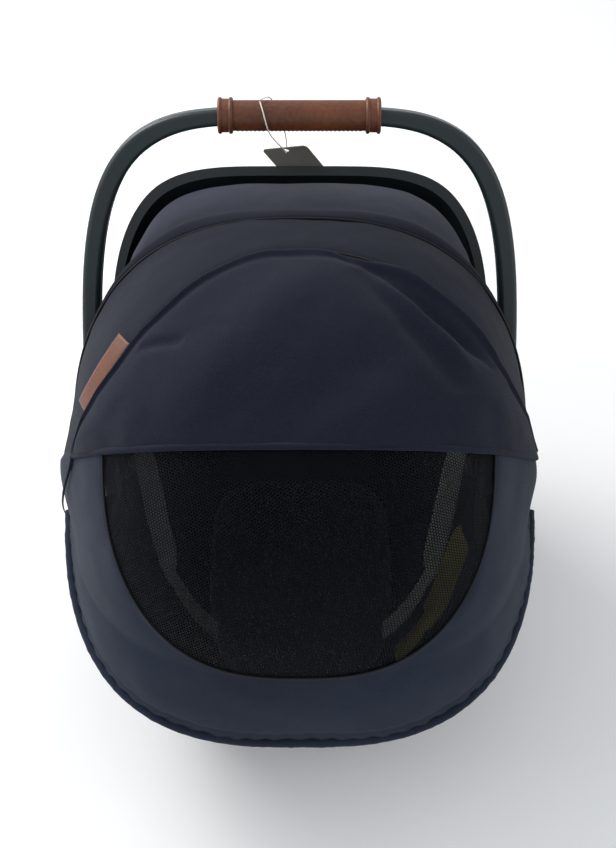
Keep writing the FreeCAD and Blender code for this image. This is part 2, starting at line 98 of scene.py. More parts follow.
# --- shader effects shared by the finishes ------------------------------------
class Effects:
    """Shader node groups, each built once and placed in many finishes."""

    _built: Dict[str, bpy.types.NodeTree] = {}

    @classmethod
    def _start(cls, name: str, inputs: Sequence[Tuple[str, str, object]],
               outputs: Sequence[Tuple[str, str]]) -> bpy.types.NodeTree:
        """Make an empty group with named sockets.

        Args:
            name: the group's name.
            inputs: name, socket type and default of each input.
            outputs: name and socket type of each output.

        Returns:
            The new node tree, with its input and output nodes in place.
        """
        tree = bpy.data.node_groups.new(name, "ShaderNodeTree")
        for label, kind, default in inputs:
            socket = tree.interface.new_socket(name=label, in_out="INPUT", socket_type=kind)
            if default is not None:
                socket.default_value = default
        for label, kind in outputs:
            tree.interface.new_socket(name=label, in_out="OUTPUT", socket_type=kind)
        tree.nodes.new("NodeGroupInput").name = "in"
        tree.nodes.new("NodeGroupOutput").name = "out"
        return tree

    @classmethod
    def _math(cls, tree: bpy.types.NodeTree, operation: str, *values: object) -> bpy.types.NodeSocket:
        """Add a Math node fed by sockets or numbers.

        Args:
            tree: the group to add to.
            operation: the Math node's operation.
            values: a socket or a number for each input.

        Returns:
            The node's output socket.
        """
        node = tree.nodes.new("ShaderNodeMath")
        node.operation = operation
        for index, value in enumerate(values):
            if isinstance(value, (int, float)):
                node.inputs[index].default_value = value
            else:
                tree.links.new(value, node.inputs[index])
        return node.outputs[0]

    @classmethod
    def mottle(cls) -> bpy.types.NodeTree:
        """Two tones mixed by soft and fine noise: heathered yarn, dusty plastic, tanned hide."""
        if "mottle" in cls._built:
            return cls._built["mottle"]
        tree = cls._start(
            "mottle",
            [("Vector", "NodeSocketVector", None), ("Dark", "NodeSocketColor", (0.1, 0.1, 0.1, 1.0)),
             ("Light", "NodeSocketColor", (0.2, 0.2, 0.2, 1.0)), ("Broad", "NodeSocketFloat", 12.0),
             ("Fine", "NodeSocketFloat", 400.0), ("Grain", "NodeSocketFloat", 0.5)],
            [("Color", "NodeSocketColor"), ("Height", "NodeSocketFloat")])
        given, out = tree.nodes["in"], tree.nodes["out"]
        broad = tree.nodes.new("ShaderNodeTexNoise")
        fine = tree.nodes.new("ShaderNodeTexNoise")
        fine.inputs["Detail"].default_value = 4.0
        for node, scale in ((broad, "Broad"), (fine, "Fine")):
            tree.links.new(given.outputs["Vector"], node.inputs["Vector"])
            tree.links.new(given.outputs[scale], node.inputs["Scale"])
        blend = tree.nodes.new("ShaderNodeMix")
        tree.links.new(given.outputs["Grain"], blend.inputs[0])
        tree.links.new(broad.outputs["Fac"], blend.inputs[2])
        tree.links.new(fine.outputs["Fac"], blend.inputs[3])
        spread = tree.nodes.new("ShaderNodeMapRange")
        spread.inputs["From Min"].default_value = 0.32
        spread.inputs["From Max"].default_value = 0.68
        tree.links.new(blend.outputs[0], spread.inputs["Value"])
        tint = tree.nodes.new("ShaderNodeMix")
        tint.data_type = "RGBA"
        tree.links.new(spread.outputs["Result"], tint.inputs[0])
        tree.links.new(given.outputs["Dark"], tint.inputs[6])
        tree.links.new(given.outputs["Light"], tint.inputs[7])
        tree.links.new(tint.outputs[2], out.inputs["Color"])
        tree.links.new(fine.outputs["Fac"], out.inputs["Height"])
        cls._built["mottle"] = tree
        return tree

    @classmethod
    def weave(cls) -> bpy.types.NodeTree:
        """Plain weave on a UV map in metres: threads over and under at a given pitch."""
        if "weave" in cls._built:
            return cls._built["weave"]
        tree = cls._start("weave", [("Vector", "NodeSocketVector", None), ("Pitch", "NodeSocketFloat", 0.0016)],
                          [("Height", "NodeSocketFloat")])
        given, out = tree.nodes["in"], tree.nodes["out"]
        split = tree.nodes.new("ShaderNodeSeparateXYZ")
        tree.links.new(given.outputs["Vector"], split.inputs[0])
        turns = cls._math(tree, "DIVIDE", 2.0 * math.pi, given.outputs["Pitch"])
        across = cls._math(tree, "SINE", cls._math(tree, "MULTIPLY", split.outputs["X"], turns))
        along = cls._math(tree, "SINE", cls._math(tree, "MULTIPLY", split.outputs["Y"], turns))
        crossing = cls._math(tree, "MULTIPLY", across, along)
        height = cls._math(tree, "MULTIPLY_ADD", crossing, 0.5, 0.5)
        tree.links.new(height, out.inputs["Height"])
        cls._built["weave"] = tree
        return tree

    @classmethod
    def net(cls) -> bpy.types.NodeTree:
        """Hexagonal net on a UV map in metres: three families of threads at sixty degrees."""
        if "net" in cls._built:
            return cls._built["net"]
        tree = cls._start("net", [("Vector", "NodeSocketVector", None), ("Pitch", "NodeSocketFloat", 0.0034)],
                          [("Thread", "NodeSocketFloat")])
        given, out = tree.nodes["in"], tree.nodes["out"]
        split = tree.nodes.new("ShaderNodeSeparateXYZ")
        tree.links.new(given.outputs["Vector"], split.inputs[0])
        turns = cls._math(tree, "DIVIDE", 2.0 * math.pi, given.outputs["Pitch"])
        waves = []
        for angle in (10.0, 70.0, 130.0):
            direction = math.radians(angle)
            x = cls._math(tree, "MULTIPLY", split.outputs["X"], math.cos(direction))
            place = cls._math(tree, "MULTIPLY_ADD", split.outputs["Y"], math.sin(direction), x)
            waves.append(cls._math(tree, "COSINE", cls._math(tree, "MULTIPLY", place, turns)))
        total = cls._math(tree, "ADD", cls._math(tree, "ADD", waves[0], waves[1]), waves[2])
        edge = tree.nodes.new("ShaderNodeMapRange")
        edge.inputs["From Min"].default_value = 0.5
        edge.inputs["From Max"].default_value = -0.5
        tree.links.new(total, edge.inputs["Value"])
        tree.links.new(edge.outputs["Result"], out.inputs["Thread"])
        cls._built["net"] = tree
        return tree


# --- finishes -----------------------------------------------------------------
def linear(red: int, green: int, blue: int) -> Tuple[float, float, float, float]:
    """Screen colour as a linear RGBA colour."""
    return tuple((channel / 255.0) ** 2.2 for channel in (red, green, blue)) + (1.0,)


@dataclass(frozen=True)
class Finish:
    """A surface: two tones with grain, and how it takes the light."""

    name: str
    dark: Tuple[int, int, int]
    light: Tuple[int, int, int]
    roughness: float = 0.6
    bump: float = 0.15
    depth: float = 0.0004
    broad: float = 12.0
    fine: float = 500.0
    grain: float = 0.5
    metallic: float = 0.0
    sheen: float = 0.0
    specular: float = 0.5
    pitch: float = 0.0
    net: bool = False
    pebble: float = 0.0
    opacity: float = 1.0

    def material(self) -> bpy.types.Material:
        """The finish's material, built the first time that it is asked for."""
        label = "finish_" + self.name
        found = bpy.data.materials.get(label)
        if found:
            return found
        material = bpy.data.materials.new(label)
        material.use_nodes = True
        tree = material.node_tree
        shader = tree.nodes["Principled BSDF"]
        shader.inputs["Roughness"].default_value = self.roughness
        shader.inputs["Metallic"].default_value = self.metallic
        shader.inputs["Sheen Weight"].default_value = self.sheen
        shader.inputs["Specular IOR Level"].default_value = self.specular
        coordinates = tree.nodes.new("ShaderNodeTexCoord")
        mottle = tree.nodes.new("ShaderNodeGroup")
        mottle.node_tree = Effects.mottle()
        mottle.inputs["Dark"].default_value = linear(*self.dark)
        mottle.inputs["Light"].default_value = linear(*self.light)
        mottle.inputs["Broad"].default_value = self.broad
        mottle.inputs["Fine"].default_value = self.fine
        mottle.inputs["Grain"].default_value = self.grain
        tree.links.new(coordinates.outputs["Object"], mottle.inputs["Vector"])
        tree.links.new(mottle.outputs["Color"], shader.inputs["Base Color"])
        height = mottle.outputs["Height"]
        if self.pitch:
            cloth = tree.nodes.new("ShaderNodeGroup")
            cloth.node_tree = Effects.net() if self.net else Effects.weave()
            cloth.inputs["Pitch"].default_value = self.pitch
            tree.links.new(coordinates.outputs["UV"], cloth.inputs["Vector"])
            height = cloth.outputs["Thread" if self.net else "Height"]
            if self.net:
                gap = tree.nodes.new("ShaderNodeMapRange")
                gap.inputs["To Min"].default_value = self.opacity
                tree.links.new(height, gap.inputs["Value"])
                tree.links.new(gap.outputs["Result"], shader.inputs["Alpha"])
        if self.pebble:
            cells = tree.nodes.new("ShaderNodeTexVoronoi")
            cells.inputs["Scale"].default_value = self.pebble
            tree.links.new(coordinates.outputs["Object"], cells.inputs["Vector"])
            height = cells.outputs["Distance"]
        bump = tree.nodes.new("ShaderNodeBump")
        bump.inputs["Strength"].default_value = self.bump
        bump.inputs["Distance"].default_value = self.depth
        tree.links.new(height, bump.inputs["Height"])
        tree.links.new(bump.outputs["Normal"], shader.inputs["Normal"])
        return material

    def dress(self, piece: bpy.types.Object) -> None:
        """Give every slot of a piece this finish."""
        if not piece.data.materials:
            piece.data.materials.append(self.material())
        for index in range(len(piece.data.materials)):
            piece.data.materials[index] = self.material()


SOFT = {"sheen": 0.05, "specular": 0.14}
SHELL_PLASTIC = Finish("shell_plastic", (22, 29, 32), (30, 38, 42), 0.5, 0.25, 0.0002, 6.0, 900.0, 0.55)
TRIM_PLASTIC = Finish("trim_plastic", (20, 27, 29), (27, 35, 38), 0.42, 0.12, 0.0002, 6.0, 900.0, 0.4)
HANDLE_PLASTIC = Finish("handle_plastic", (26, 35, 36), (35, 46, 48), 0.38, 0.18, 0.0002, 7.0, 1100.0, 0.45)
BLACK_PLASTIC = Finish("black_plastic", (16, 17, 20), (24, 26, 29), 0.45, 0.2, 0.0002, 8.0, 900.0, 0.5)
STEEL = Finish("zinc_steel", (128, 130, 134), (162, 164, 168), 0.32, 0.1, 0.0001, 20.0, 900.0, 0.6, 1.0)
RUBBER = Finish("pad_rubber", (20, 20, 22), (32, 32, 34), 0.85, 0.3, 0.0003, 20.0, 700.0, 0.6)
GRIP_LEATHER = Finish("grip_leather", (76, 42, 24), (114, 66, 40), 0.4, 0.5, 0.0004, 18.0, 260.0, 0.45,
                      pebble=900.0)
TAB_LEATHER = Finish("tab_leather", (88, 50, 34), (116, 70, 48), 0.48, 0.4, 0.0004, 22.0, 300.0, 0.5,
                     pebble=900.0)
HOOD_CLOTH = Finish("hood_cloth", (27, 30, 40), (38, 41, 52), 0.86, 0.5, 0.0005, 9.0, 700.0, 0.62,
                    **SOFT, pitch=0.0017)
# The hood's cloth painted lighter for the rear panel: a painted highlight of the light falling on the
# upward-facing rear.
REAR_CLOTH_PAINTED_HIGHLIGHT = Finish("rear_cloth_painted_highlight", (38, 41, 52), (52, 56, 68), 0.86, 0.45, 0.0005, 9.0, 700.0, 0.6,
                    **SOFT, pitch=0.0017)
FLAP_CLOTH = Finish("flap_cloth", (25, 28, 39), (38, 41, 54), 0.88, 0.55, 0.0005, 8.0, 650.0, 0.6,
                    **SOFT, pitch=0.0018)
BORDER_CLOTH = Finish("border_cloth", (29, 35, 48), (42, 50, 64), 0.78, 0.35, 0.0004, 9.0, 700.0, 0.55,
                      **SOFT, pitch=0.0013)
# Black cord of the seams: real piping on the bow and round the window; along the flap's arc seam it is also
# painted shade of the gap under the folded edge.
PIPING_AND_SEAM_SHADE = Finish("seam_piping_and_shade", (7, 8, 11), (14, 16, 20), 0.75, 0.3, 0.0003, 30.0, 900.0, 0.5)
TAN_THREAD = Finish("tan_thread", (126, 92, 64), (152, 116, 84), 0.7, 0.2, 0.0002, 60.0, 1500.0, 0.5)
NET = Finish("window_net", (4, 7, 14), (10, 15, 25), 0.55, 0.6, 0.0005, 10.0, 500.0, 0.4,
             pitch=0.0026, net=True, opacity=0.2, specular=0.12)
LINING = Finish("quilted_lining", (13, 15, 22), (22, 25, 34), 0.9, 0.6, 0.0015, 10.0, 160.0, 0.5,
                **SOFT)
PLUSH = Finish("cushion_plush", (26, 29, 38), (42, 46, 56), 0.95, 0.8, 0.002, 16.0, 420.0, 0.6, sheen=0.4)
GREY_WEB = Finish("grey_webbing", (186, 188, 180), (216, 217, 208), 0.75, 0.7, 0.0006, 30.0, 900.0, 0.6)
OLIVE_WEB = Finish("olive_webbing", (176, 166, 66), (204, 194, 92), 0.75, 0.7, 0.0006, 30.0, 900.0, 0.6)
CARD = Finish("tag_card", (112, 106, 99), (128, 121, 113), 0.75, 0.15, 0.0002, 25.0, 1200.0, 0.5)
STRING = Finish("tag_string_yarn", (214, 206, 190), (236, 230, 218), 0.8, 0.5, 0.0002, 60.0, 2500.0, 0.6)


# --- mesh helpers -------------------------------------------------------------
def select_only(piece: bpy.types.Object) -> None:
    """Deselect everything, then make one piece selected and active."""
    bpy.ops.object.select_all(action="DESELECT")
    piece.select_set(True)
    bpy.context.view_layer.objects.active = piece


def apply_modifiers(piece: bpy.types.Object) -> None:
    """Apply every modifier of a piece, in order."""
    select_only(piece)
    for modifier in list(piece.modifiers):
        bpy.ops.object.modifier_apply(modifier=modifier.name)


def enrol(piece: bpy.types.Object, node: Optional[str] = None, body: Optional[Body] = None) -> None:
    """Hang a finished piece on its body and hide the node that it stands for.

    Args:
        piece: the piece.
        node: the node that it stands for, if there is one.
        body: the body that it rides on, unless it is blended between two.
    """
    if body:
        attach(piece, body.value)
    if node:
        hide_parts(node)


def new_piece(name: str, points: Sequence[Vector], faces: Sequence[Tuple[int, ...]],
              uvs: Sequence[Spot]) -> bpy.types.Object:
    """Make a mesh object, selected and active.

    Args:
        name: the new object's name.
        points: its vertices.
        faces: the vertices of each face.
        uvs: cloth coordinates of each vertex, in metres.

    Returns:
        The new object, with a UV map.
    """
    mesh = bpy.data.meshes.new(name)
    mesh.from_pydata(points, [], faces)
    layer = mesh.uv_layers.new(name="cloth")
    for loop in mesh.loops:
        layer.data[loop.index].uv = uvs[loop.vertex_index]
    mesh.update()
    piece = bpy.data.objects.new(name, mesh)
    bpy.context.scene.collection.objects.link(piece)
    select_only(piece)
    return piece


def cloth_grid(name: str, place: Grid, rows: int, columns: int) -> bpy.types.Object:
    """Weave a sheet of quads whose points are given by a formula.

    Args:
        name: the new object's name.
        place: gives a point and its UV, in metres, for two fractions from 0 to 1.
        rows: steps along the first fraction.
        columns: steps along the second fraction.

    Returns:
        The new object, with a UV map.
    """
    across = columns + 1
    points, uvs = [], []
    for i in range(rows + 1):
        for j in range(across):
            point, uv = place(i / rows, j / columns)
            points.append(point)
            uvs.append(uv)
    faces = []
    for i in range(rows):
        for j in range(columns):
            near, far = i * across + j, (i + 1) * across + j
            faces.append((near, near + 1, far + 1, far))
    piece = new_piece(name, points, faces, uvs)
    bpy.ops.object.shade_smooth()
    return piece


def face_outwards(piece: bpy.types.Object, centre: Vector) -> None:
    """Turn an open sheet's faces away from a point inside it."""
    total = sum((polygon.center - centre).dot(polygon.normal) for polygon in piece.data.polygons)
    if total < 0.0:
        piece.data.flip_normals()


def thicken(piece: bpy.types.Object, thickness: float) -> None:
    """Give a sheet its thickness, inwards from its outer face."""
    wall = piece.modifiers.new("wall", "SOLIDIFY")
    wall.thickness = thickness
    wall.offset = -1.0
    apply_modifiers(piece)


def tube(name: str, points: Sequence[Vector], radius: Callable[[float, float], float],
         sides: int = 10, flatten: float = 1.0) -> bpy.types.Object:
    """Sweep a closed round piece along points, capped at both ends.

    Args:
        name: the new object's name.
        points: the centre line.
        radius: radius for the fraction along and the angle around.
        sides: sides of the section.
        flatten: the section's height over its width.

    Returns:
        The new object.
    """
    rings, uvs, run = [], [], 0.0
    for index, point in enumerate(points):
        before = points[max(index - 1, 0)]
        after = points[min(index + 1, len(points) - 1)]
        run += (point - before).length
        heading = (after - before).normalized()
        outward = Vector((point.x, point.y, point.z - HOOD.hub.z)).normalized()
        side = heading.cross(outward).normalized()
        up = side.cross(heading).normalized()
        for step in range(sides):
            angle = 2.0 * math.pi * step / sides
            reach = radius(index / (len(points) - 1), angle)
            rings.append(point + side * math.cos(angle) * reach + up * math.sin(angle) * reach * flatten)
            uvs.append((run, angle * reach))
    faces = []
    for ring in range(len(points) - 1):
        for step in range(sides):
            right = (step + 1) % sides
            faces.append((ring * sides + step, ring * sides + right,
                          (ring + 1) * sides + right, (ring + 1) * sides + step))
    faces.append(tuple(range(sides)))
    faces.append(tuple((len(points) - 1) * sides + step for step in range(sides)))
    piece = new_piece(name, rings, faces, uvs)
    bpy.ops.object.mode_set(mode="EDIT")
    bpy.ops.mesh.select_all(action="SELECT")
    bpy.ops.mesh.normals_make_consistent(inside=False)
    bpy.ops.object.mode_set(mode="OBJECT")
    bpy.ops.object.shade_smooth()
    return piece


# --- the hood's form ----------------------------------------------------------
@dataclass
class HoodForm:
    """The hood as arches turned about the hub axis, in metres and degrees forward of upright."""

    hub: Vector = field(default_factory=lambda: Vector((0.0, 0.0, 0.225)))
    half_width: float = 0.222
    reach: float = 0.262
    squareness: float = 2.5
    rear_edge: float = -49.0
    channel: float = -25.5
    bow: float = -21.0
    seam_top: float = -7.7
    flap_edge: float = 34.0
    window_top: float = 30.0
    window_depth: float = 54.0
    window_half_width: float = 0.171
    window_squareness: float = 3.1
    window_end: float = 84.0
    hem: float = 104.0
    leg: float = 0.046

    def arch(self, forward: float) -> Tuple[float, float, float]:
        """Half width, reach and squareness of the arch at an angle.

        Args:
            forward: degrees forward of upright.

        Returns:
            The arch's three sizes.
        """
        if forward > self.window_end:
            share = (forward - self.window_end) / (self.hem - self.window_end)
            return (self.half_width + 0.005 * share, self.reach + 0.018 * share ** 1.3,
                    self.squareness + 0.3 * share)
        if forward < self.bow:
            share = min((self.bow - forward) / 4.5, 1.0)
            fall = max((self.channel - forward) / (self.channel - self.rear_edge), 0.0)
            return (self.half_width - 0.032 * share - 0.010 * fall,
                    self.reach + 0.019 * fall ** 1.2, self.squareness + 0.7 * share + 0.8 * fall)
        return self.half_width, self.reach, self.squareness

    def point(self, forward: float, around: float, lift: float = 0.0) -> Vector:
        """A point of the hood.

        Args:
            forward: degrees forward of upright.
            around: angle round the arch, from 0 at the right leg to pi at the left leg.
            lift: distance out from the hood's face.

        Returns:
            The point, at rest.
        """
        width, reach, power = self.arch(forward)
        c, s = math.cos(around), math.sin(around)
        size = (abs(c / width) ** power + abs(s / reach) ** power) ** (-1.0 / power)
        x, r = size * c, size * s
        nx = math.copysign(abs(x / width) ** (power - 1.0) / width, x)
        nr = abs(r / reach) ** (power - 1.0) / reach
        length = math.hypot(nx, nr)
        low = math.exp(-((r - 0.085) / 0.04) ** 2) * math.exp(-((forward - 44.0) / 26.0) ** 2)
        ear = 0.0085 * low
        x += nx / length * lift + math.copysign(ear, x)
        r += nr / length * lift
        turn = math.radians(forward)
        return Vector((x, -r * math.sin(turn), self.hub.z + r * math.cos(turn)))

    def around_range(self, leg: Optional[float] = None) -> Tuple[float, float]:
        """First and last angle round the arch, above a leg height."""
        start = math.atan2(self.leg if leg is None else leg, self.half_width)
        return start, math.pi - start

    def x_of(self, around: float) -> float:
        """Place across the hood of an angle round the arch."""
        return self.point(0.0, around).x

    def seam(self, around: float) -> float:
        """Degrees forward of the flap's arc seam, lower on the left than on the right."""
        bare = self.point(0.0, around)
        fall = 35.0 if bare.x < 0.0 else 23.0
        low = max(((0.175 if bare.x < 0.0 else 0.13) - (bare.z - self.hub.z)) / 0.085, 0.0)
        return self.seam_top + fall * (abs(bare.x) / 0.2) ** 2.1 + 34.0 * low ** 1.8

    def window(self, around_share: float) -> Tuple[float, float]:
        """The mesh window's U-shaped outline.

        Args:
            around_share: 0 at the outline's right top, 1 at its left top.

        Returns:
            Degrees forward, and the angle round the arch.
        """
        turn = math.pi * around_share
        power = self.window_squareness
        c, s = math.cos(turn), math.sin(turn)
        size = (abs(c) ** power + abs(s) ** power) ** (-1.0 / power)
        x = self.window_half_width * size * c
        forward = self.window_top + self.window_depth * size * s
        return forward, self.around_at(x)

    def around_at(self, x: float) -> float:
        """Angle round the arch at a place across it, found by halving."""
        low, high = 0.0, math.pi
        for _ in range(40):
            middle = (low + high) / 2.0
            if self.x_of(middle) > x:
                low = middle
            else:
                high = middle
        return (low + high) / 2.0

    def flat_place(self, forward: float, around: float) -> Tuple[float, float]:
        """Cloth coordinates of a point, in metres."""
        return (around - math.pi / 2.0) * 0.27, math.radians(forward) * 0.262


HOOD = HoodForm()
# run of the hood's crown for each degree about the hub axis
METRES_PER_DEGREE = 0.00457


def crease(place: Vector, start: Spot, end: Spot, width: float, depth: float) -> float:
    """Depth of a soft fold at a place on the flat cloth.

    Args:
        place: the point on the cloth.
        start: where the fold starts.
        end: where the fold ends.
        width: the fold's half width.
        depth: its depth, negative for a valley.

    Returns:
        How far the cloth stands out there.
    """
    first, line = Vector(start), Vector(end) - Vector(start)
    share = (place - first).dot(line) / line.length_squared
    near = first + line * min(max(share, 0.0), 1.0)
    fade = math.sin(math.pi * min(max(share * 0.86 + 0.07, 0.0), 1.0)) ** 0.5
    return depth * fade * math.exp(-((place - near).length / width) ** 2)


def rumple(point: Vector, size: float, height: float) -> float:
    """Even small unevenness of hung cloth."""
    return noise.noise(point / size) * height


# --- cloth pieces -------------------------------------------------------------
def hood_cloth(name: str, limits: Callable[[float], Tuple[float, float]], leg: float,
               relief: Callable[[float, float, Vector], float], rows: int = 40, columns: int = 150,
               thickness: float = 0.0014) -> bpy.types.Object:
    """A panel of the hood between two lines across it.

    Args:
        name: the new piece's name.
        limits: first and last degrees forward for an angle round the arch.
        leg: height above the hub axis where the panel's legs start.
        relief: how far the cloth stands out at a place.
        rows: quads from front to back.
        columns: quads across.
        thickness: the cloth's thickness.

    Returns:
        The panel, thickened.
    """
    width = HOOD.arch(limits(math.pi / 2.0)[0])[0]
    first = math.atan2(leg, width)

    def place(u: float, v: float) -> Tuple[Vector, Tuple[float, float]]:
        around = first + (math.pi - 2.0 * first) * v
        start, end = limits(around)
        forward = start + (end - start) * u
        bare = HOOD.point(forward, around)
        return HOOD.point(forward, around, relief(forward, around, bare)), HOOD.flat_place(forward, around)

    piece = cloth_grid(name, place, rows, columns)
    face_outwards(piece, HOOD.hub)
    thicken(piece, thickness)
    return piece


def forward_of(point: Vector) -> float:
    """Degrees forward of upright of a point, about the hub axis."""
    return math.degrees(math.atan2(-(point.y - HOOD.hub.y), point.z - HOOD.hub.z))


def bend(piece: bpy.types.Object, first: Body, second: Body, start: float, end: float) -> None:
    """Fan a piece between two bodies that turn about the hub axis.

    Args:
        piece: the finished mesh.
        first: the body that it follows at the start angle.
        second: the body that it follows at the end angle.
        start: degrees forward where it leaves the first body.
        end: degrees forward where it has joined the second body.
    """
    top = math.pi / 2.0
    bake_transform(piece, first.value, second.value, HOOD.point(start, top), HOOD.point(end, top))
    values = piece.data.attributes["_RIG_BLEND"].data
    for index, vertex in enumerate(piece.data.vertices):
        share = (forward_of(vertex.co) - start) / (end - start)
        values[index].value = min(max(share, 0.0), 1.0)


def line_on_hood(places: Sequence[Tuple[float, float]], lift: float) -> List[Vector]:
    """Points of a line drawn on the hood."""
    return [HOOD.point(forward, around, lift) for forward, around in places]


def steady(radius: float) -> Callable[[float, float], float]:
    """A constant radius for a tube."""
    return lambda share, angle: radius


# --- sub-assemblies -----------------------------------------------------------
@dataclass
class Studio:
    """Camera, floor and soft lights."""

    place: Place = (0.008, -0.933, 1.4005)
    tilt: float = 40.0
    lens: float = 63.68

    def camera(self) -> None:
        """Put up the camera above the front of the hood."""
        bpy.ops.object.camera_add(location=self.place, rotation=(math.radians(self.tilt), 0.0, 0.0))
        camera = bpy.context.object
        camera.name = "studio_camera"
        camera.data.lens = self.lens
        camera.data.sensor_width = 36.0
        camera.data.clip_start = 0.01
        bpy.context.scene.camera = camera

    def build(self) -> None:
        """Lay the floor and hang the lights."""
        bpy.ops.mesh.primitive_plane_add(size=8.0, location=(0.0, 0.0, 0.0))
        floor = bpy.context.object
        floor.name = "studio_floor"
        Finish("studio_white", (250, 250, 250), (252, 252, 252), 0.9, 0.0).dress(floor)
        world = bpy.data.worlds.new("studio_world")
        world.use_nodes = True
        world.node_tree.nodes["Background"].inputs["Color"].default_value = (0.93, 0.96, 1.0, 1.0)
        world.node_tree.nodes["Background"].inputs["Strength"].default_value = 0.66
        bpy.context.scene.world = world
        bpy.context.scene.view_settings.view_transform = "Standard"
        self.lamp("lamp_top", (-1.1, 0.9, 1.35), 1.1, 28.0, (1.0, 0.99, 0.97))
        self.lamp("lamp_left", (-1.7, -0.5, 1.3), 1.0, 6.0, (0.97, 0.98, 1.0))
        self.lamp("lamp_right", (1.6, -0.3, 1.2), 1.1, 5.0, (1.0, 0.99, 0.97))

    @staticmethod
    def lamp(name: str, place: Place, size: float, power: float, tint: Tuple[float, float, float]) -> None:
        """Hang one area light, aimed at the pod."""
        bpy.ops.object.light_add(type="AREA", location=place)
        lamp = bpy.context.object
        lamp.name = name
        lamp.data.size = size
        lamp.data.energy = power
        lamp.data.color = tint
        aim = Vector((0.0, 0.0, 0.3)) - Vector(place)
        lamp.rotation_euler = aim.to_track_quat("-Z", "Y").to_euler()


@dataclass
class SwingTag:
    """The card on its string, looped over the grip."""

    diameter: float = 0.0012
    length: float = 0.3179
    route: Tuple[Place, ...] = (
        (-0.0360, 0.1730, 0.5404), (-0.0335, 0.1638, 0.5388), (-0.0305, 0.1569, 0.5285),
        (-0.0280, 0.1594, 0.5157), (-0.0250, 0.1770, 0.4945), (-0.0195, 0.2070, 0.4615),
        (-0.0162, 0.2255, 0.4415), (-0.0148, 0.2350, 0.4315), (-0.0142, 0.2396, 0.4254),
        (-0.0140, 0.2432, 0.4214), (-0.0138, 0.2486, 0.4207), (-0.0136, 0.2518, 0.4246),
        (-0.0136, 0.2506, 0.4310), (-0.0142, 0.2456, 0.4416), (-0.0160, 0.2345, 0.4630),
        (-0.0205, 0.2135, 0.5000), (-0.0245, 0.1952, 0.5235), (-0.0275, 0.1878, 0.5344),
        (-0.0310, 0.1792, 0.5405), (-0.0350, 0.1734, 0.5424))

    def build(self, nodes: Dict[str, bpy.types.Object]) -> None:
        """Run the string and finish the card."""
        curve = bpy.data.curves.new("tag_cord", "CURVE")
        curve.dimensions = "3D"
        spline = curve.splines.new("NURBS")
        spline.points.add(len(self.route) - 1)
        for control, place in zip(spline.points, self.route):
            control.co = place + (1.0,)
        spline.order_u = 3
        spline.use_endpoint_u = True
        spline.resolution_u = 12
        curve.bevel_depth = self.diameter / 2.0
        curve.bevel_resolution = 3
        curve.use_fill_caps = True
        string = bpy.data.objects.new("tag_cord", curve)
        bpy.context.scene.collection.objects.link(string)
        curve.materials.append(STRING.material())
        enrol(string, "tag_string", Body.TAG)
        CARD.dress(nodes["swing_tag"])


@dataclass
class HoodRear:
    """The rear cloth, the sleeve over the rear bow and its seam."""

    leg: float = 0.072
    sleeve_leg: float = 0.058

    def limits(self, around: float) -> Tuple[float, float]:
        """First and last degrees of the rear cloth, which stays above the shell's rim near the hubs."""
        height = HOOD.point(0.0, around).z - HOOD.hub.z
        return HOOD.rear_edge + 4.8 * min(max((0.112 - height) / 0.04, 0.0), 1.0), HOOD.channel + 0.6

    def build(self) -> None:
        """Sew the rear of the hood."""
        cloth = hood_cloth("hood_rear_cloth", self.limits, self.leg, self.relief, 34, 150)
        # The rear panel takes the lighter copy of the hood cloth: painted highlight.
        REAR_CLOTH_PAINTED_HIGHLIGHT.dress(cloth)
        bend(cloth, Body.SHELL, Body.HOOD_REAR, HOOD.rear_edge, HOOD.channel)
        enrol(cloth, "hood_rear_panel")
        sleeve = hood_cloth("bow_sleeve", lambda around: (-25.6, -20.9), self.sleeve_leg,
                            self.sleeve_relief, 14, 150)
        HOOD_CLOTH.dress(sleeve)
        enrol(sleeve, "bow_channel", Body.HOOD_REAR)
        first, last = HOOD.around_range(0.055)
        places = [(HOOD.bow + 0.25, first + (last - first) * step / 200) for step in range(201)]
        piping = tube("bow_piping", line_on_hood(places, 0.0008), steady(0.0011), 8)
        PIPING_AND_SEAM_SHADE.dress(piping)
        enrol(piping, body=Body.HOOD_REAR)

    @staticmethod
    def relief(forward: float, around: float, bare: Vector) -> float:
        """Soft unevenness of the rear cloth."""
        return rumple(bare, 0.07, 0.0022) + rumple(bare, 0.022, 0.0006)

    @staticmethod
    def sleeve_relief(forward: float, around: float, bare: Vector) -> float:
        """The sleeve's round back over the bow."""
        share = (forward + 25.6) / 4.7
        return 0.0015 + 0.0028 * max(math.sin(math.pi * share), 0.0) ** 0.6 + rumple(bare, 0.03, 0.0004)


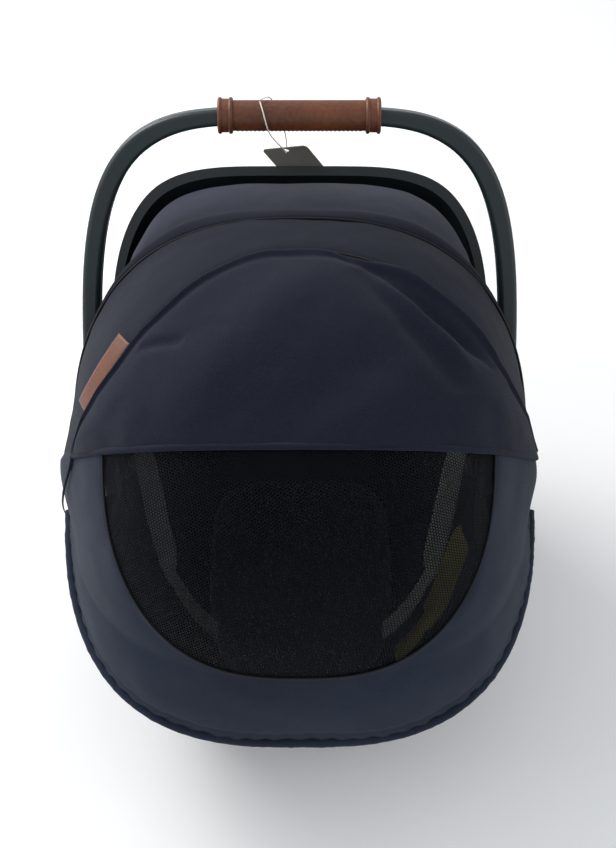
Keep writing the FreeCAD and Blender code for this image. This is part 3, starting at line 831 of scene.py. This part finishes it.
@dataclass
class HoodFront:
    """The main cloth from the bow's seam to the flap's arc seam."""

    leg: float = 0.044

    def build(self) -> None:
        """Sew the main cloth and its front seam, with a dark cord along the arc seam that is partly piping and
        partly painted shade of the gap under the flap's folded edge.
        """
        cloth = hood_cloth("hood_main_cloth", lambda around: (HOOD.bow + 0.2, min(HOOD.seam(around), 42.0)),
                           self.leg, self.relief, 56, 190)
        HOOD_CLOTH.dress(cloth)
        bend(cloth, Body.HOOD_REAR, Body.HOOD_FRONT, HOOD.bow, HOOD.bow + 12.3)
        enrol(cloth, "hood_main_panel")
        first, last = HOOD.around_range(0.098)[0], HOOD.around_range(0.140)[1]
        arounds = [first + (last - first) * step / 240 for step in range(241)]
        line = line_on_hood([(HOOD.seam(around), around) for around in arounds], 0.0004)
        # Dark cord along the arc seam: partly piping, partly painted shade of the gap under the flap's folded
        # edge.
        piping = tube("arc_piping_and_seam_shade", line, steady(0.0010), 8)
        PIPING_AND_SEAM_SHADE.dress(piping)
        enrol(piping, body=Body.HOOD_FRONT)

    @staticmethod
    def relief(forward: float, around: float, bare: Vector) -> float:
        """Soft unevenness, drawn in at the arc seam."""
        gap = max(HOOD.seam(around) - forward, 0.0)
        tuck = -0.0012 * math.exp(-(gap / 1.2) ** 2)
        return rumple(bare, 0.06, 0.0020) + rumple(bare, 0.018, 0.0005) + tuck


@dataclass
class Flap:
    """The roll-up flap over the window, with its folded edge and leather tab."""

    leg: float = 0.090
    edge: float = 35.1
    roll: float = 0.0030
    left_leg: float = 0.140
    # start, end, half width and depth of each fold, on the flat cloth
    folds: Tuple[Tuple[Spot, Spot, float, float], ...] = (
        ((0.040, -0.034), (0.152, 0.052), 0.0095, -0.0085),
        ((0.058, -0.040), (0.168, 0.038), 0.0080, 0.0055),
        ((0.056, -0.006), (0.132, 0.098), 0.0110, -0.0070),
        ((0.050, -0.024), (0.142, 0.074), 0.0080, 0.0050),
        ((0.108, 0.026), (0.166, 0.062), 0.0065, -0.0038),
        ((-0.132, 0.058), (-0.098, 0.064), 0.0060, -0.0048),
        ((-0.060, -0.028), (-0.124, 0.030), 0.0120, -0.0016),
        ((-0.150, 0.110), (-0.168, 0.166), 0.0110, -0.0020),
        ((0.160, 0.110), (0.176, 0.166), 0.0110, -0.0020),
        ((-0.105, 0.125), (0.030, -0.010), 0.0280, 0.0055),
        ((-0.020, 0.150), (0.100, 0.060), 0.0240, -0.0045))

    def build(self) -> None:
        """Sew the flap."""
        cloth = hood_cloth("flap_cloth", self.limits, self.leg, self.relief, 96, 210)
        FLAP_CLOTH.dress(cloth)
        bend(cloth, Body.HOOD_FRONT, Body.FLAP, HOOD.seam_top, HOOD.flap_edge)
        enrol(cloth, "window_flap")
        self.folded_edge()
        self.tab()

    def limits(self, around: float) -> Tuple[float, float]:
        """First and last degrees of the flap at an angle round the arch."""
        return HOOD.seam(around), max(self.edge, HOOD.seam(around) + 0.5)

    def relief(self, forward: float, around: float, bare: Vector) -> float:
        """Puff, soft folds and pulled seam of the flap."""
        start = HOOD.seam(around)
        span = max(self.edge - start, 4.0)
        share = min(max((forward - start) / span, 0.0), 1.0)
        place = Vector((bare.x, forward * METRES_PER_DEGREE))
        full = min(max((math.hypot(bare.y, bare.z - HOOD.hub.z) - self.leg) / 0.07, 0.0), 1.0)
        puff = (0.0042 * math.sin(math.pi * share) ** 0.8 + 0.0026 * share) * full
        folds = sum(crease(place, *fold) for fold in self.folds)
        gap = (forward - start) * METRES_PER_DEGREE
        ridge = (0.0034 * math.exp(-((gap - 0.0028) / 0.0026) ** 2)
                 - 0.0012 * math.exp(-((gap - 0.0095) / 0.005) ** 2))
        return (0.0012 + puff + (folds + ridge) * (0.3 + 0.7 * full)
                + rumple(bare, 0.05, 0.0022) + rumple(bare, 0.016, 0.0005))

    def folded_edge(self) -> None:
        """The flap's thick front edge, folded over its stay."""
        first = HOOD.around_range(self.leg + 0.012)[0]
        last = HOOD.around_range(self.left_leg)[1]
        places = [(self.edge, first + (last - first) * step / 220) for step in range(221)]

        def radius(share: float, angle: float) -> float:
            ends = min(share, 1.0 - share) / 0.02
            swell = 1.0 + 0.09 * noise.noise(Vector((share * 22.0, math.cos(angle), math.sin(angle))))
            return self.roll * swell * min(0.35 + 0.65 * ends, 1.0)

        edge = tube("flap_edge", line_on_hood(places, 0.0018), radius, 12, 0.9)
        FLAP_CLOTH.dress(edge)
        enrol(edge, "flap_stay", Body.FLAP)

    def tab(self) -> None:
        """The leather tab, one long side caught in the arc seam, on the left."""
        top, bottom, width = -0.1455, -0.1880, 0.0190

        def place(u: float, v: float) -> Tuple[Vector, Tuple[float, float]]:
            around = HOOD.around_at(top + (bottom - top) * v)
            on_seam = HOOD.point(HOOD.seam(around), around)
            along = HOOD.point(HOOD.seam(around + 0.004), around + 0.004) - on_seam
            outward = HOOD.point(HOOD.seam(around), around, 0.01) - on_seam
            side = along.cross(outward).normalized()
            spot = on_seam + side * width * u
            reach = math.hypot(spot.y, spot.z - HOOD.hub.z)
            rim = min(u, 1.0 - u, v * 4.4, (1.0 - v) * 4.4)
            lift = 0.0022 + 0.0036 * u + 0.0008 * min(rim / 0.08, 1.0)
            return (HOOD.point(forward_of(spot), math.atan2(reach, spot.x), lift), (v * 0.066, u * width))

        tab = cloth_grid("leather_patch", place, 16, 60)
        face_outwards(tab, HOOD.hub)
        thicken(tab, 0.0018)
        TAB_LEATHER.dress(tab)
        enrol(tab, "leather_tab", Body.HOOD_FRONT)


@dataclass
class Window:
    """The net window, the cloth round it and the gathered hem."""

    under_flap: float = 10.0
    leg: float = 0.047
    hem_radius: float = 0.0046
    gathers: int = 74

    def build(self) -> None:
        """Sew the front of the hood."""
        net = cloth_grid("mesh_net", self.net_place, 60, 120)
        face_outwards(net, HOOD.hub)
        NET.dress(net)
        self.front(net)
        enrol(net, "mesh_window")
        border = cloth_grid("border_cloth", self.border_place, 46, 360)
        face_outwards(border, HOOD.hub)
        thicken(border, 0.0014)
        BORDER_CLOTH.dress(border)
        self.front(border)
        enrol(border, "border_panel")
        outline = [self.inner(step / 300) for step in range(301)]
        piping = tube("window_piping", line_on_hood(outline, 0.0002), steady(0.0010), 8)
        PIPING_AND_SEAM_SHADE.dress(piping)
        self.front(piping)
        self.hem()

    def front(self, piece: bpy.types.Object) -> None:
        """Fan a piece of the window between the front bow and the hem."""
        bend(piece, Body.HOOD_FRONT, Body.HEM, -6.0, 102.0)

    def inner(self, share: float) -> Tuple[float, float]:
        """The window's outline, from its right top round to its left top."""
        hidden = HOOD.window_top - self.under_flap
        if share < 0.15:
            forward = self.under_flap + hidden * share / 0.15
            return forward, HOOD.around_at(HOOD.window_half_width)
        if share > 0.85:
            forward = self.under_flap + hidden * (1.0 - share) / 0.15
            return forward, HOOD.around_at(-HOOD.window_half_width)
        return HOOD.window((share - 0.15) / 0.7)

    def outer(self, share: float) -> Tuple[float, float]:
        """The cloth's outer edge: down the right leg, along the hem and up the left leg."""
        first, last = HOOD.around_range(self.leg)
        mirror = share > 0.5
        run = 1.0 - share if mirror else share
        if run < 0.15:
            forward, around = 30.0 + 25.0 * run / 0.15, first
        elif run < 0.24:
            forward, around = 55.0 + (HOOD.hem - 55.0) * (run - 0.15) / 0.09, first
        else:
            forward, around = HOOD.hem, first + (math.pi / 2.0 - first) * (run - 0.24) / 0.26
        return forward, (math.pi - around if mirror else around)

    def border_place(self, u: float, v: float) -> Tuple[Vector, Tuple[float, float]]:
        """A point of the cloth between the window and the outer edge."""
        inner, outer = self.inner(v), self.outer(v)
        forward = inner[0] + (outer[0] - inner[0]) * u
        around = inner[1] + (outer[1] - inner[1]) * u
        bare = HOOD.point(forward, around)
        hidden = -0.0030 * min(max((HOOD.flap_edge + 1.0 - forward) / 4.0, 0.0), 1.0)
        front = min(max((v - 0.22) / 0.08, 0.0), 1.0) * min(max((0.78 - v) / 0.08, 0.0), 1.0)
        pull = math.cos(2.0 * math.pi * self.gathers * v + 2.2 * noise.noise(Vector((v * 30.0, 0.0, 0.0))))
        near = max((u - 0.62) / 0.38, 0.0) ** 1.6
        stitch = -0.0010 * math.exp(-((u - 0.84) / 0.018) ** 2)
        puff = 0.0030 * math.sin(math.pi * min(u, 1.0)) * front
        soft = rumple(bare, 0.075, 0.0030) + rumple(bare, 0.026, 0.0009)
        lift = hidden + puff + stitch + 0.0010 * pull * near * (0.4 + 0.6 * front) + soft
        lift *= min(u / 0.05 + 0.15, 1.0) if forward > HOOD.flap_edge else 1.0
        return HOOD.point(forward, around, lift), HOOD.flat_place(forward, around)

    def net_place(self, u: float, v: float) -> Tuple[Vector, Tuple[float, float]]:
        """A point of the net: from the line under the flap to the bottom of the outline."""
        side = 1.0 - 2.0 * v
        power = HOOD.window_squareness
        reach = math.cos(math.pi / 2.0 * (1.0 - abs(side)))
        x = math.copysign(0.1715 * reach, side)
        lowest = HOOD.window_top + HOOD.window_depth * max(1.0 - reach ** power, 0.0) ** (1.0 / power)
        forward = self.under_flap + (lowest + 0.3 - self.under_flap) * u
        around = HOOD.around_at(x)
        bare = HOOD.point(forward, around)
        sag = -0.0016 * math.sin(math.pi * u) * (1.0 - abs(side) ** 2)
        hidden = -0.0030 * min(max((HOOD.flap_edge + 1.0 - forward) / 4.0, 0.0), 1.0)
        return (HOOD.point(forward, around, sag + hidden - 0.0006 + rumple(bare, 0.09, 0.0012)),
                HOOD.flat_place(forward, around))

    def hem(self) -> None:
        """The gathered elastic hem under the front edge."""
        first, last = HOOD.around_range(self.leg + 0.002)
        places = [(HOOD.hem, first + (last - first) * step / 420) for step in range(421)]

        def radius(share: float, angle: float) -> float:
            wave = noise.noise(Vector((share * 120.0, math.cos(angle) * 0.7, math.sin(angle) * 0.7)))
            drift = 0.5 + 0.5 * noise.noise(Vector((share * 9.0, 3.0, 0.0)))
            return self.hem_radius * (1.0 + 0.22 * wave * drift)

        roll = tube("hem_roll", line_on_hood(places, 0.0002), radius, 12, 1.0)
        BORDER_CLOTH.dress(roll)
        enrol(roll, "hem_binding", Body.HEM)


@dataclass
class Cabin:
    """The floor cushion and the lining."""

    low: float = 0.0135
    most_travel: float = 0.005
    fill: float = 0.6

    def build(self, nodes: Dict[str, bpy.types.Object]) -> None:
        """Stuff the cushion and dress the lining."""
        cushion = self.copy_of(nodes["floor_cushion"], "cushion_plush")
        self.stuff(cushion)
        PLUSH.dress(cushion)
        enrol(cushion, "floor_cushion", Body.SHELL)
        lining = self.copy_of(nodes["liner"], "lining_quilted")
        LINING.dress(lining)
        enrol(lining, "liner", Body.SHELL)

    @staticmethod
    def copy_of(node: bpy.types.Object, name: str) -> bpy.types.Object:
        """A free copy of a node's mesh, at the origin."""
        piece = bpy.data.objects.new(name, node.data.copy())
        bpy.context.scene.collection.objects.link(piece)
        select_only(piece)
        bpy.ops.object.shade_smooth()
        return piece

    def stuff(self, piece: bpy.types.Object) -> None:
        """Puff the cushion up with a short cloth simulation, capped in how far it may move."""
        remesh = piece.modifiers.new("even", "REMESH")
        remesh.mode = "VOXEL"
        remesh.voxel_size = 0.0055
        apply_modifiers(piece)
        before = [vertex.co.copy() for vertex in piece.data.vertices]
        cloth = piece.modifiers.new("stuffing", "CLOTH")
        cloth.settings.quality = 6
        cloth.settings.mass = 0.3
        cloth.settings.use_pressure = True
        cloth.settings.uniform_pressure_force = 4.0
        cloth.settings.effector_weights.gravity = 0.0
        cloth.point_cache.frame_start = 1
        cloth.point_cache.frame_end = 20
        scene = bpy.context.scene
        for frame in range(1, 21):
            scene.frame_set(frame)
        apply_modifiers(piece)
        scene.frame_set(1)
        for vertex, start in zip(piece.data.vertices, before):
            move = vertex.co - start
            if move.length > self.most_travel:
                move *= self.most_travel / move.length
            vertex.co = start + move
            vertex.co.z = max(vertex.co.z, self.low)
        smooth = piece.modifiers.new("smooth", "SUBSURF")
        smooth.levels = 1
        apply_modifiers(piece)
        select_only(piece)
        bpy.ops.object.shade_smooth()


@dataclass
class Webbing:
    """The two side straps and the tether, inside the shell."""

    width: float = 0.022
    thickness: float = 0.0016
    side: Tuple[Place, ...] = ((0.172, 0.066, 0.196), (0.160, 0.035, 0.190), (0.146, -0.020, 0.162),
                               (0.128, -0.072, 0.126), (0.106, -0.086, 0.086), (0.084, -0.084, 0.0445))
    tether: Tuple[Place, ...] = ((0.166, -0.034, 0.160), (0.156, -0.062, 0.150), (0.140, -0.092, 0.118),
                                 (0.118, -0.110, 0.080), (0.098, -0.112, 0.0445))

    def build(self) -> None:
        """Lay the three straps."""
        self.strap("strap_right", "side_strap_right", self.side, 1.0, GREY_WEB)
        self.strap("strap_left", "side_strap_left", self.side, -1.0, GREY_WEB)
        self.strap("strap_tether", "tether_strap", self.tether, 1.0, OLIVE_WEB)

    def strap(self, name: str, node: str, route: Sequence[Place], hand: float, finish: Finish) -> None:
        """Lay one strap, turned flat where it faces the window.

        Args:
            name: the new piece's name.
            node: the node that it stands for.
            route: points that it passes, on the right.
            hand: 1 for the right side, -1 for the left.
            finish: its finish.
        """
        path = [Vector((x * hand, y, z)) for x, y, z in route]
        lengths = [(b - a).length for a, b in zip(path, path[1:])]

        def at(share: float) -> Vector:
            left = share * sum(lengths)
            for start, end, length in zip(path, path[1:], lengths):
                if left <= length:
                    return start.lerp(end, left / length)
                left -= length
            return path[-1]

        def smooth(share: float) -> Vector:
            return sum((at(min(max(share + step * 0.02, 0.0), 1.0)) for step in range(-3, 4)), Vector()) / 7.0

        def place(u: float, v: float) -> Tuple[Vector, Tuple[float, float]]:
            centre = smooth(v)
            flat = math.sin(math.pi * min(v / 0.62, 1.0)) ** 0.5 if v < 0.62 else 0.0
            side = Vector((0.0, 1.0, 0.0)).lerp(Vector((-hand, 0.25, 0.0)), flat * 0.9).normalized()
            return centre + side * self.width * (u - 0.5), (u * self.width, v * sum(lengths))

        piece = cloth_grid(name, place, 8, 90)
        face_outwards(piece, Vector((0.0, 0.0, 0.0)))
        thicken(piece, self.thickness)
        finish.dress(piece)
        enrol(piece, node, Body.SHELL)


@dataclass
class HardParts:
    """Finishes of the frame, trim and fittings, and the grip's stitching."""

    grip_axis: Place = (0.0, 0.173, 0.5246)
    grip_radius: float = 0.0141
    stitches: int = 30
    finishes: Dict[str, Finish] = field(default_factory=lambda: {
        "shell_tub": SHELL_PLASTIC, "rim_trim_front": TRIM_PLASTIC, "rim_trim_rear": TRIM_PLASTIC,
        "base_plate": BLACK_PLASTIC, "foot_pads": RUBBER, "base_screws": STEEL,
        "hub_housing_right": TRIM_PLASTIC, "hub_housing_left": TRIM_PLASTIC,
        "pivot_axle_right": STEEL, "pivot_axle_left": STEEL,
        "adapter_socket_right": BLACK_PLASTIC, "adapter_socket_left": BLACK_PLASTIC,
        "handle_bar": HANDLE_PLASTIC, "grip_sleeve": GRIP_LEATHER, "grip_collar_right": GRIP_LEATHER,
        "grip_collar_left": GRIP_LEATHER, "hub_cap_right": HANDLE_PLASTIC, "hub_cap_left": HANDLE_PLASTIC,
        "button_spring_right": STEEL, "button_spring_left": STEEL,
        "release_button_right": BLACK_PLASTIC, "release_button_left": BLACK_PLASTIC,
        "hood_bow_rear": BLACK_PLASTIC, "hood_bow_front": BLACK_PLASTIC})

    def dress(self, nodes: Dict[str, bpy.types.Object]) -> None:
        """Give each hard part its finish."""
        for name, finish in self.finishes.items():
            finish.dress(nodes[name])

    def stitch(self) -> None:
        """Sew the seam along the underside of the grip."""
        angle = math.radians(-58.0)
        y = self.grip_axis[1] - self.grip_radius * math.cos(angle)
        z = self.grip_axis[2] + self.grip_radius * math.sin(angle)
        bpy.ops.mesh.primitive_uv_sphere_add(segments=8, ring_count=6, radius=0.001, location=(-0.0565, y, z))
        seam = bpy.context.object
        seam.name = "grip_stitches"
        seam.scale = (1.35, 0.5, 0.5)
        bpy.ops.object.transform_apply(location=True, rotation=True, scale=True)
        row = seam.modifiers.new("row", "ARRAY")
        row.use_relative_offset = False
        row.use_constant_offset = True
        row.constant_offset_displace = (0.113 / (self.stitches - 1), 0.0, 0.0)
        row.count = self.stitches
        apply_modifiers(seam)
        bpy.ops.object.shade_smooth()
        TAN_THREAD.dress(seam)
        enrol(seam, body=Body.HANDLE)


def main() -> None:
    """Build every sub-assembly in order."""
    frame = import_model()
    nodes = frame["nodes"]
    studio = Studio()
    studio.camera()
    SwingTag().build(nodes)
    LOG.info("swing tag")
    HoodRear().build()
    LOG.info("rear of the hood")
    HoodFront().build()
    LOG.info("front of the hood")
    Flap().build()
    LOG.info("flap")
    Window().build()
    LOG.info("window")
    Cabin().build(nodes)
    LOG.info("cabin")
    Webbing().build()
    LOG.info("webbing")
    hard = HardParts()
    hard.dress(nodes)
    hard.stitch()
    LOG.info("hard parts")
    studio.build()


if __name__ == "__main__":
    main()
